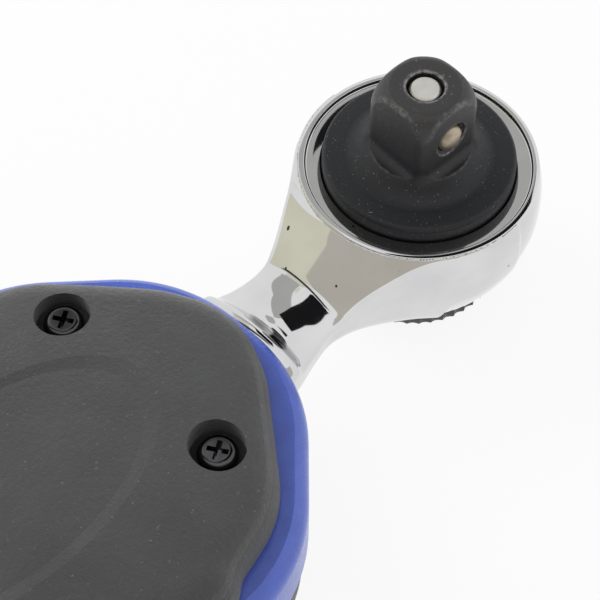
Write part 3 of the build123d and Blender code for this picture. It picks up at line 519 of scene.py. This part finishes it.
# Ratchet head
RIM_R = 19.4
RIM_STEP_R = 18.05
RIM_STEP_Z = -3.1
RIM_RING_FOOT_Z = -3.3
RING_GROOVE_R = 17.4
RING_GROOVE_Z = (-3.5, -4.7)
BORE_R = 16.65
BORE_LIP_R = 15.85
BARREL_R = 20.22
BARREL_Z = -11.5
FOOT_R = 18.4
FOOT_Z = -19.6
BOTTOM_R = 16.1
BOTTOM_Z = -23.4
GEAR_TOP_Z = -6.2
GEAR_FLOOR_Z = -17.4
TEETH = 72
TOOTH_ROOT_R = 15.8
TOOTH_TIP_R = 15.0
JOURNAL_R = 9.05
CASTING_TOP_Z = RIM_Z - 0.15
LIP_R = RIM_R - 0.2
LIP_SLOPE = 1.9
WEB_TOP_Z = RIM_Z - 0.3
WEB_SLOPE = 0.93
SCOOP_Z = -9.6
SCOOP_BOW = 0.035
SCOOP_BOW_LENGTH = 8
RIDGE_X = -38.3
RIDGE_Z = -7.2
NECK_LEAN = 0.05
NECK_END_X = -45.0
NECK_CROWN_R = 19.0
NECK_WIDENING_X = -10
NECK_WIDENING = 1.2
SHANK_END_X = -60
SHANK_HALF = (5, 4.5)
NECK_SIDE = (
    (-46, 11.2), (-42, 10.9), (-38, 10.2), (-33, 8.9), (-29, 8.3), (-25, 8.9), (-20, 10.9),
    (-14, 14.2), (-9, 17.6), (-4, 19.6), (1, 20.3),
)
NECK_FOOT = ((-46, -19.4), (-36, -19.2), (-28, -18.6), (-22, -19.0), (-17, -20.0), (-8, -22.0))
SCOOP_LINE = (
    (-48.5, -9.9), (-42, -8.2), (RIDGE_X, RIDGE_Z), (-36.9, -8.6), (-34.5, -9.3), (-31, SCOOP_Z),
    (-27, -9.3), (-18, -8.2),
)

# Rounded edges and valleys of the casting
FOOT_ROUND = 3.0
BOTTOM_ROUND = 1.5
LIP_ROUND = 0.8
WEB_ROUND = 0.5
WAIST_ROUND = 0.7
COLLAR_ROUND = 1.6
WAIST_X = -20
COLLAR_X = -30
UNDER_ROUND = 4.0
NECK_ROUND = 1.4

# Gaps behind the turned surfaces that line the casting
BORE_GAP = 0.35
TOOTH_GAP = 0.3
JOURNAL_GAP = 0.2
STEP_GAP = 0.15
FLOOR_GAP = 0.1
CASTING_LOW = (-60.8, -21.2, -24.2)
CASTING_HIGH = (21.2, 21.2, -1.6)
CASTING_STEP = 0.33
RING_STEPS = 240
FLOOR_STEPS = 96


def arc_through(first, middle, last):
    """Centre and radius of the circle through three points."""
    (ax, ay), (bx, by), (cx, cy) = first, middle, last
    d = 2 * (ax * (by - cy) + bx * (cy - ay) + cx * (ay - by))
    a2, b2, c2 = ax * ax + ay * ay, bx * bx + by * by, cx * cx + cy * cy
    x = (a2 * (by - cy) + b2 * (cy - ay) + c2 * (ay - by)) / d
    y = (a2 * (cx - bx) + b2 * (ax - cx) + c2 * (bx - ax)) / d
    return x, y, math.hypot(ax - x, ay - y)


def smooth_line(x, stops):
    """Curve through (x, value) stops, with even slopes."""
    places = np.array([stop[0] for stop in stops], float)
    heights = np.array([stop[1] for stop in stops], float)
    slopes = np.gradient(heights, places)
    i = np.clip(np.searchsorted(places, x) - 1, 0, len(places) - 2)
    width = places[i + 1] - places[i]
    t = np.clip((x - places[i]) / width, 0, 1)
    return (
        heights[i] * (1 + 2 * t) * (1 - t) ** 2 + heights[i + 1] * t * t * (3 - 2 * t)
        + width * (slopes[i] * t * (1 - t) ** 2 + slopes[i + 1] * t * t * (t - 1))
    )


def cone(rho, z, radius, top_z, slope):
    """Field under a cone that falls outward with a slope from a radius and a height."""
    return (z - top_z + (rho - radius) * slope) / math.hypot(1, slope)


def drum_side(x, y, z):
    """Barrel with a narrower foot."""
    rho = np.hypot(x, y)
    centre_r, centre_z, radius = arc_through((RIM_R, RIM_Z), (BARREL_R, BARREL_Z), (FOOT_R, FOOT_Z))
    barrel = np.hypot(rho - centre_r, z - centre_z) - radius
    lean = math.hypot(FOOT_R - BOTTOM_R, FOOT_Z - BOTTOM_Z)
    foot = ((rho - FOOT_R) * (FOOT_Z - BOTTOM_Z) - (z - FOOT_Z) * (FOOT_R - BOTTOM_R)) / lean
    return blend_max(barrel, foot, FOOT_ROUND)


def drum_field(x, y, z):
    """Barrel-shaped drum with a lip under the rim ring."""
    side = blend_max(drum_side(x, y, z), BOTTOM_Z - z, BOTTOM_ROUND)
    lip = cone(np.hypot(x, y), z, LIP_R, CASTING_TOP_Z, LIP_SLOPE)
    return blend_max(side, lip, LIP_ROUND)


def neck_field(x, y, z):
    """Waisted neck with a conical web under the rim, a crowned scoop and a ridged collar."""
    # The factors at the ends of side and scoop bring the slopes of these fields near one.
    side = (np.abs(y) - smooth_line(x, NECK_SIDE) - (z - SCOOP_Z) * NECK_LEAN) * 0.85
    web = cone(np.hypot(x, y), z, RIM_R, WEB_TOP_Z, WEB_SLOPE)
    bow = SCOOP_BOW * y * y * fade(x, RIDGE_X, RIDGE_X + SCOOP_BOW_LENGTH)
    along = np.where(x > RIDGE_X, x + bow, x)
    scoop = (z - smooth_line(along, SCOOP_LINE) + y * y / (2 * NECK_CROWN_R)) * 0.9
    top = blend_min(web, scoop, WEB_ROUND)
    under = smooth_line(x, NECK_FOOT) - z
    edge_round = WAIST_ROUND + (COLLAR_ROUND - WAIST_ROUND) * fade(x, WAIST_X, COLLAR_X)
    neck = blend_max(blend_max(side, top, edge_round), under, UNDER_ROUND)
    widening = np.clip(NECK_WIDENING_X - x, 0, None) * NECK_WIDENING
    near_drum = blend_max(drum_side(x, y, z) - widening, BOTTOM_Z - z, BOTTOM_ROUND)
    neck = np.maximum(neck, near_drum)
    return np.maximum(neck, slab(x, NECK_END_X, 1))


def head_field(x, y, z):
    """Drum, neck and shank, bored for the ratchet."""
    rho = np.hypot(x, y)
    body = blend_min(drum_field(x, y, z), neck_field(x, y, z), NECK_ROUND)
    body = np.maximum(body, z - CASTING_TOP_Z)
    shank = np.maximum(np.abs(y) - SHANK_HALF[0], np.abs(z - AXIS_Z) - SHANK_HALF[1])
    body = np.minimum(body, np.maximum(shank, slab(x, SHANK_END_X, NECK_END_X)))
    bore = np.maximum(rho - BORE_R - BORE_GAP, GEAR_TOP_Z - z)
    gear = np.maximum(rho - TOOTH_ROOT_R - TOOTH_GAP, slab(z, GEAR_FLOOR_Z - FLOOR_GAP, GEAR_TOP_Z + 1))
    journal = np.maximum(rho - JOURNAL_R - JOURNAL_GAP, z)
    ring_seat = np.maximum(rho - RIM_STEP_R - BORE_GAP, RIM_STEP_Z - STEP_GAP - z)
    hole = np.minimum(np.minimum(bore, gear), np.minimum(journal, ring_seat))
    return np.maximum(body, -hole)


def make_rim_ring():
    """Machined rim ring with its step, its groove for the retaining ring and the bore under it."""
    groove_top, groove_bottom = RING_GROOVE_Z
    profile = (
        (RIM_R, RIM_RING_FOOT_Z), (RIM_R, RIM_Z - 0.16), (RIM_R - 0.05, RIM_Z - 0.05),
        (RIM_R - 0.16, RIM_Z), (RIM_R - 0.9, RIM_Z), (RIM_R - 1.02, RIM_Z - 0.02),
        (RIM_R - 1.1, RIM_Z - 0.12), (RIM_R - 1.16, RIM_STEP_Z + 0.12),
        (RIM_R - 1.22, RIM_STEP_Z + 0.03), (RIM_STEP_R - 0.1, RIM_STEP_Z),
        (BORE_LIP_R + 0.12, RIM_STEP_Z), (BORE_LIP_R + 0.03, RIM_STEP_Z - 0.03),
        (BORE_LIP_R, RIM_STEP_Z - 0.12), (BORE_LIP_R, groove_top), (RING_GROOVE_R, groove_top),
        (RING_GROOVE_R, groove_bottom), (BORE_R, groove_bottom), (BORE_R, GEAR_TOP_Z),
        (TOOTH_TIP_R - 0.2, GEAR_TOP_Z),
    )
    verts, faces = turned(profile[::-1], RING_STEPS)
    return link_mesh("rim_ring", verts, faces, creased=50)


def make_teeth():
    """Internal teeth that the pawls work in."""
    outline = []
    for i in range(2 * TEETH):
        radius = TOOTH_TIP_R if i % 2 else TOOTH_ROOT_R
        angle = math.pi * i / TEETH
        outline.append((radius * math.cos(angle), radius * math.sin(angle)))
    count = len(outline)
    verts = [(x, y, z) for z in (GEAR_TOP_Z, GEAR_FLOOR_Z) for x, y in outline]
    faces = [(j, (j + 1) % count, count + (j + 1) % count, count + j) for j in range(count)]
    return link_mesh("teeth", verts, faces, creased=20)


def make_head():
    """Chrome head: smooth casting, rim ring, internal teeth and the pocket's floor."""
    casting = implicit_piece("casting", head_field, CASTING_LOW, CASTING_HIGH, CASTING_STEP)
    ring = make_rim_ring()
    teeth = make_teeth()
    profile = ((JOURNAL_R, BOTTOM_Z), (JOURNAL_R, GEAR_FLOOR_Z), (TOOTH_ROOT_R, GEAR_FLOOR_Z))
    verts, faces = turned(profile[::-1], FLOOR_STEPS)
    floor = link_mesh("pocket_floor", verts, faces, creased=50)
    head = joined("head_casting", [casting, ring, teeth, floor])
    finish_piece(head, "wrench_body", "chrome", "ratchet_head")


# Anvil
DRIVE_HALF = 6.325
DRIVE_CORNER_R = 1.9
DRIVE_LENGTH = 15.5
DRIVE_TURN = math.radians(-4)
DRIVE_FOOT_Z = -2
END_FLAT_R = 5.2
END_CORNER_R = 8.16
END_DROP = 3.0
END_CURVE = 2.4
FLANGE_R = 15.55
FLANGE_FOOT_Z = -4.82
FLARE_TOP_R = 8.2
FLARE_FOOT_R = 12.4
FLARE_HEIGHT = 2.6
FLANGE_FALL_R = 15.4
FLANGE_FALL = 0.25
SHOULDER_R = 16.6
SHOULDER_FOOT_Z = -6.05
CARRIER_R = 14.4
CARRIER_FOOT_Z = -17.25
ANVIL_JOURNAL_R = 9.0
ANVIL_JOURNAL_Z = -23.3
PIN_HOLE_R = 2.55
PIN_MOUTH_R = 2.95
PIN_MOUTH_DEPTH = 2
STEM_HOLE_R = 4.25
POCKET_TOP_Z = -7.2
POCKET_FOOT_Z = -16.2
POCKET_INNER_R = 9.1
POCKET_TURN = math.radians(111)
SLOT_OUTER_R = 10
SLOT_TURN = math.radians(42)
BALL_OUT = 5.05
BALL_Z = 8.6
BALL_TURN = math.radians(266)
BALL_HOLE_R = 2.42
BALL_DISH_R = 2.95
BALL_DISH_DEPTH = 0.45
BALL_DISH_SLOPE = 0.4
BALL_PROFILE = (
    (0, 2.05), (0.8, 2.0), (1.45, 1.82), (1.95, 1.42), (2.25, 0.8), (2.35, 0), (1.66, -1.66), (0, -2.35),
)
BALL_STEPS = 48
END_ROUND = 0.5
FLANGE_ROUND = 0.7
DRIVE_FOOT_ROUND = 1.6
HOLE_ROUND = 0.25
ANVIL_LOW = (-17.2, -17.2, -24)
ANVIL_HIGH = (17.2, 17.2, 16.4)
ANVIL_STEP = 0.3


def box_distance(x, y, half, corner):
    """Distance to a rounded square."""
    qx = np.abs(x) - half + corner
    qy = np.abs(y) - half + corner
    return np.hypot(np.maximum(qx, 0), np.maximum(qy, 0)) + np.minimum(np.maximum(qx, qy), 0) - corner


def turned_axes(x, y, angle):
    """Coordinates along and across a direction in the plane."""
    return x * math.cos(angle) + y * math.sin(angle), y * math.cos(angle) - x * math.sin(angle)


def drive_field(x, y, z):
    """Square drive with rounded corners and a domed end."""
    rho = np.hypot(x, y)
    along, across = turned_axes(x, y, DRIVE_TURN)
    square = box_distance(along, across, DRIVE_HALF, DRIVE_CORNER_R)
    fall = END_DROP * (np.maximum(rho - END_FLAT_R, 0) / (END_CORNER_R - END_FLAT_R)) ** END_CURVE
    # The divisor brings the slope of the domed end near one.
    square = blend_max(square, (z - DRIVE_LENGTH + fall) / np.hypot(1, fall * 0.8), END_ROUND)
    return np.maximum(square, DRIVE_FOOT_Z - z)


def flange_field(rho, z):
    """Flange that flares up to the square and falls a little towards its edge."""
    rise = FLARE_HEIGHT * fade(rho, FLARE_FOOT_R, FLARE_TOP_R) ** 2
    top = z - rise + FLANGE_FALL * fade(rho, FLARE_FOOT_R, FLANGE_FALL_R)
    flange = blend_max(top * 0.8, rho - FLANGE_R, FLANGE_ROUND)
    return np.maximum(flange, FLANGE_FOOT_Z - z)


def anvil_holes(x, y, z):
    """Pin and stem bores, the ball's hole with its dish, the pawl pockets and the cam's slot."""
    rho = np.hypot(x, y)
    pin_bore = np.maximum(rho - PIN_HOLE_R, POCKET_TOP_Z - z)
    pin_mouth = np.maximum(rho - PIN_MOUTH_R, DRIVE_LENGTH - PIN_MOUTH_DEPTH - z)
    stem_bore = np.maximum(rho - STEM_HOLE_R, z - POCKET_TOP_Z)
    out, sideways = turned_axes(x, y, BALL_TURN)
    away = np.hypot(sideways, z - BALL_Z)
    ball_hole = np.maximum(away - BALL_HOLE_R, -out)
    dish_side = away - BALL_DISH_R - (out - DRIVE_HALF) * BALL_DISH_SLOPE
    ball_dish = np.maximum(dish_side, DRIVE_HALF - BALL_DISH_DEPTH - out)
    turn = np.abs(np.arctan2(y, x))
    level = slab(z, POCKET_FOOT_Z, POCKET_TOP_Z)
    pocket = np.maximum(level, np.maximum(POCKET_INNER_R - rho, (turn - POCKET_TURN) * rho))
    slot = np.maximum(level, np.maximum((turn - SLOT_TURN) * rho, rho - SLOT_OUTER_R))
    holes = np.minimum(np.minimum(pin_bore, pin_mouth), stem_bore)
    holes = np.minimum(holes, np.minimum(ball_hole, ball_dish))
    return np.minimum(holes, np.minimum(pocket, slot))


def anvil_field(x, y, z):
    """Square drive with its flange, shoulder, pawl carrier and journal, and their holes."""
    rho = np.hypot(x, y)
    shoulder = np.maximum(rho - SHOULDER_R, slab(z, SHOULDER_FOOT_Z, FLANGE_FOOT_Z))
    carrier = np.maximum(rho - CARRIER_R, slab(z, CARRIER_FOOT_Z, SHOULDER_FOOT_Z))
    journal = np.maximum(rho - ANVIL_JOURNAL_R, slab(z, ANVIL_JOURNAL_Z, CARRIER_FOOT_Z))
    body = blend_min(flange_field(rho, z), drive_field(x, y, z), DRIVE_FOOT_ROUND)
    body = np.minimum(np.minimum(body, shoulder), np.minimum(carrier, journal))
    return blend_max(body, -anvil_holes(x, y, z), HOLE_ROUND)


def make_anvil():
    """Black-oxide anvil with softened edges."""
    anvil = implicit_piece("anvil", anvil_field, ANVIL_LOW, ANVIL_HIGH, ANVIL_STEP)
    finish_piece(anvil, "drive", "black_steel", "drive_anvil")


def make_ball():
    """Socket-holding ball, worn a little flat where sockets slide over it."""
    verts, faces = turned(BALL_PROFILE[::-1], BALL_STEPS)
    ball = link_mesh("worn_ball", verts, faces, creased=60)
    outward = Vector((math.cos(BALL_TURN), math.sin(BALL_TURN), 0))
    ball.location = (outward * BALL_OUT + Vector((0, 0, BALL_Z))) * MM
    ball.rotation_euler = outward.to_track_quat("Z", "Y").to_euler()
    bpy.context.view_layer.update()
    finish_piece(ball, "ball", "bright_steel", "detent_ball")
    # The ball's tan tint is a painted reflection of beige surroundings.
    ball.data.materials[0] = ball_tan_painted_reflection()


# Selector dial
DIAL_EDGE_R = 14.9
DIAL_INNER_R = 12.5
DIAL_TOP_Z = -23.75
DIAL_BOTTOM_Z = -27.6
DIAL_SCALLOPS = 46
SCALLOP_DEPTH = 0.45
SCALLOP_WIDTH = 1
SCALLOP_STEPS = 8


def make_dial_rim():
    """Scalloped outer rim of the dial, which the photograph shows below the drum."""
    profile = (
        (DIAL_INNER_R, DIAL_BOTTOM_Z), (DIAL_EDGE_R - 0.9, DIAL_BOTTOM_Z),
        (DIAL_EDGE_R - 0.4, DIAL_BOTTOM_Z + 0.15), (DIAL_EDGE_R, DIAL_BOTTOM_Z + 0.7),
        (DIAL_EDGE_R, DIAL_TOP_Z - 0.5), (DIAL_EDGE_R - 0.4, DIAL_TOP_Z), (DIAL_INNER_R, DIAL_TOP_Z),
    )
    verts, faces = turned(profile, DIAL_SCALLOPS * SCALLOP_STEPS)
    rho = np.hypot(verts[:, 0], verts[:, 1])
    turn = np.arctan2(verts[:, 1], verts[:, 0])
    wave = np.abs(np.sin(turn * DIAL_SCALLOPS / 2))
    hollow = SCALLOP_DEPTH * wave * fade(rho, DIAL_EDGE_R - SCALLOP_WIDTH, DIAL_EDGE_R)
    verts[:, :2] *= ((rho - hollow) / rho)[:, None]
    rim = link_mesh("dial_rim", verts, faces, creased=40)
    finish_piece(rim, "selector", "dial_steel")


# Stage in metres; a card is (name, direction, distance, length, width, roll in degrees, radiance)
CARDS = (
    ("beam_card", (-0.20, 0.34, 0.92), 0.90, 0.95, 0.18, 90, (0.06, 0.06, 0.055)),
    ("upper_wall", (-0.10, 0.50, 0.86), 0.95, 0.60, 0.34, 0, (0.78, 0.77, 0.68)),
    ("camera_card", (0.38, 0.09, 0.90), 0.90, 0.33, 0.50, 0, (0.012, 0.012, 0.013)),
    ("grey_card", (0.40, 0.46, 0.80), 0.95, 0.60, 0.30, 0, (0.52, 0.52, 0.50)),
)

# A wall is (name, first and last turn in degrees, radiance)
WALLS = (
    ("far_wall", 104, 152, (0.80, 0.78, 0.63)),
    ("near_wall", 152, 280, (0.59, 0.56, 0.49)),
)
WALL_R = 0.9
WALL_LOW = 0.14
WALL_HIGH = 1.3
WALL_STEPS = 32

# A lamp is (name, place, size, watts)
LAMPS = (
    ("key_lamp", (-0.25, 0.75, 0.5), 0.8, 7.0),
    ("fill_lamp", (0.8, -0.55, 0.35), 0.8, 3.4),
)
FLOOR_SIZE = 30.0
FLOOR_COLOUR = (0.93, 0.93, 0.93, 1)
FLOOR_ROUGHNESS = 0.8
FLOOR_GLOW = 0.9
WORLD_LIGHT = 0.46


def seen_directly(tree):
    """One for camera, glossy and transmission rays, nought for the rest."""
    path = tree.nodes.new("ShaderNodeLightPath")
    seen = calculated(tree, "MAXIMUM", path.outputs["Is Camera Ray"], path.outputs["Is Glossy Ray"])
    return calculated(tree, "MAXIMUM", seen, path.outputs["Is Transmission Ray"])


def make_floor():
    """White floor that keeps a soft shadow."""
    bpy.ops.mesh.primitive_plane_add(size=FLOOR_SIZE, location=(0, 0, REST_Z * MM))
    floor = bpy.context.object
    floor.name = "floor"
    material, tree, shader = new_material("floor")
    shader.inputs["Base Color"].default_value = FLOOR_COLOUR
    shader.inputs["Roughness"].default_value = FLOOR_ROUGHNESS
    glow = tree.nodes.new("ShaderNodeEmission")
    mix = tree.nodes.new("ShaderNodeMixShader")
    share = calculated(tree, "MULTIPLY", seen_directly(tree), FLOOR_GLOW)
    tree.links.new(share, mix.inputs["Fac"])
    tree.links.new(shader.outputs["BSDF"], mix.inputs[1])
    tree.links.new(glow.outputs["Emission"], mix.inputs[2])
    tree.links.new(mix.outputs["Shader"], tree.nodes["Material Output"].inputs["Surface"])
    floor.data.materials.append(material)


def make_world():
    """White background at a strength of one, and softer light on the object."""
    world = bpy.data.worlds.new("studio")
    world.use_nodes = True
    bpy.context.scene.world = world
    tree = world.node_tree
    background = tree.nodes["Background"]
    background.inputs["Color"].default_value = (*WHITE, 1)
    strength = mapped(tree, seen_directly(tree), (0, 1), (WORLD_LIGHT, 1.0))
    tree.links.new(strength, background.inputs["Strength"])


def show_in_reflections(card, radiance):
    """Even glow on a card that the camera, soft light and shadows leave out."""
    material, tree, _ = new_material(card.name)
    glow = tree.nodes.new("ShaderNodeEmission")
    glow.inputs["Color"].default_value = (*radiance, 1)
    tree.links.new(glow.outputs["Emission"], tree.nodes["Material Output"].inputs["Surface"])
    card.data.materials.clear()
    card.data.materials.append(material)
    card.visible_camera = False
    card.visible_diffuse = False
    card.visible_shadow = False


def make_card(name, direction, distance, length, width, roll, radiance):
    """Flat card that faces the head, for its reflections."""
    place = Vector(direction).normalized() * distance
    bpy.ops.mesh.primitive_plane_add(size=1.0, location=place)
    card = bpy.context.object
    card.name = name
    card.scale = (length, width, 1)
    facing = (-place).to_track_quat("Z", "Y")
    card.rotation_euler = (facing @ Matrix.Rotation(math.radians(roll), 3, "Z").to_quaternion()).to_euler()
    show_in_reflections(card, radiance)


def make_wall(name, turn_start, turn_end, radiance):
    """Curved wall round the head, for its reflections."""
    rows = [(WALL_R / MM, height / MM) for height in (WALL_LOW, WALL_HIGH)]
    verts, faces = turned(rows, WALL_STEPS, turn_start, turn_end)
    show_in_reflections(link_mesh(name, verts, faces), radiance)


def make_lamp(name, place, size, power):
    """Soft lamp that faces the head and stays out of its reflections."""
    data = bpy.data.lights.new(name, "AREA")
    data.size = size
    data.energy = power
    lamp = bpy.data.objects.new(name, data)
    bpy.context.scene.collection.objects.link(lamp)
    lamp.location = place
    lamp.rotation_euler = (-Vector(place)).to_track_quat("-Z", "Y").to_euler()
    lamp.visible_glossy = False


def make_stage():
    """Floor, world, reflection cards and two soft lamps."""
    make_floor()
    make_world()
    for card in CARDS:
        make_card(*card)
    for wall in WALLS:
        make_wall(*wall)
    for lamp in LAMPS:
        make_lamp(*lamp)


bpy.context.scene.view_settings.view_transform = "Standard"
place_camera()
dress_cad_nodes()
make_head()
make_anvil()
make_ball()
make_dial_rim()
make_stage()
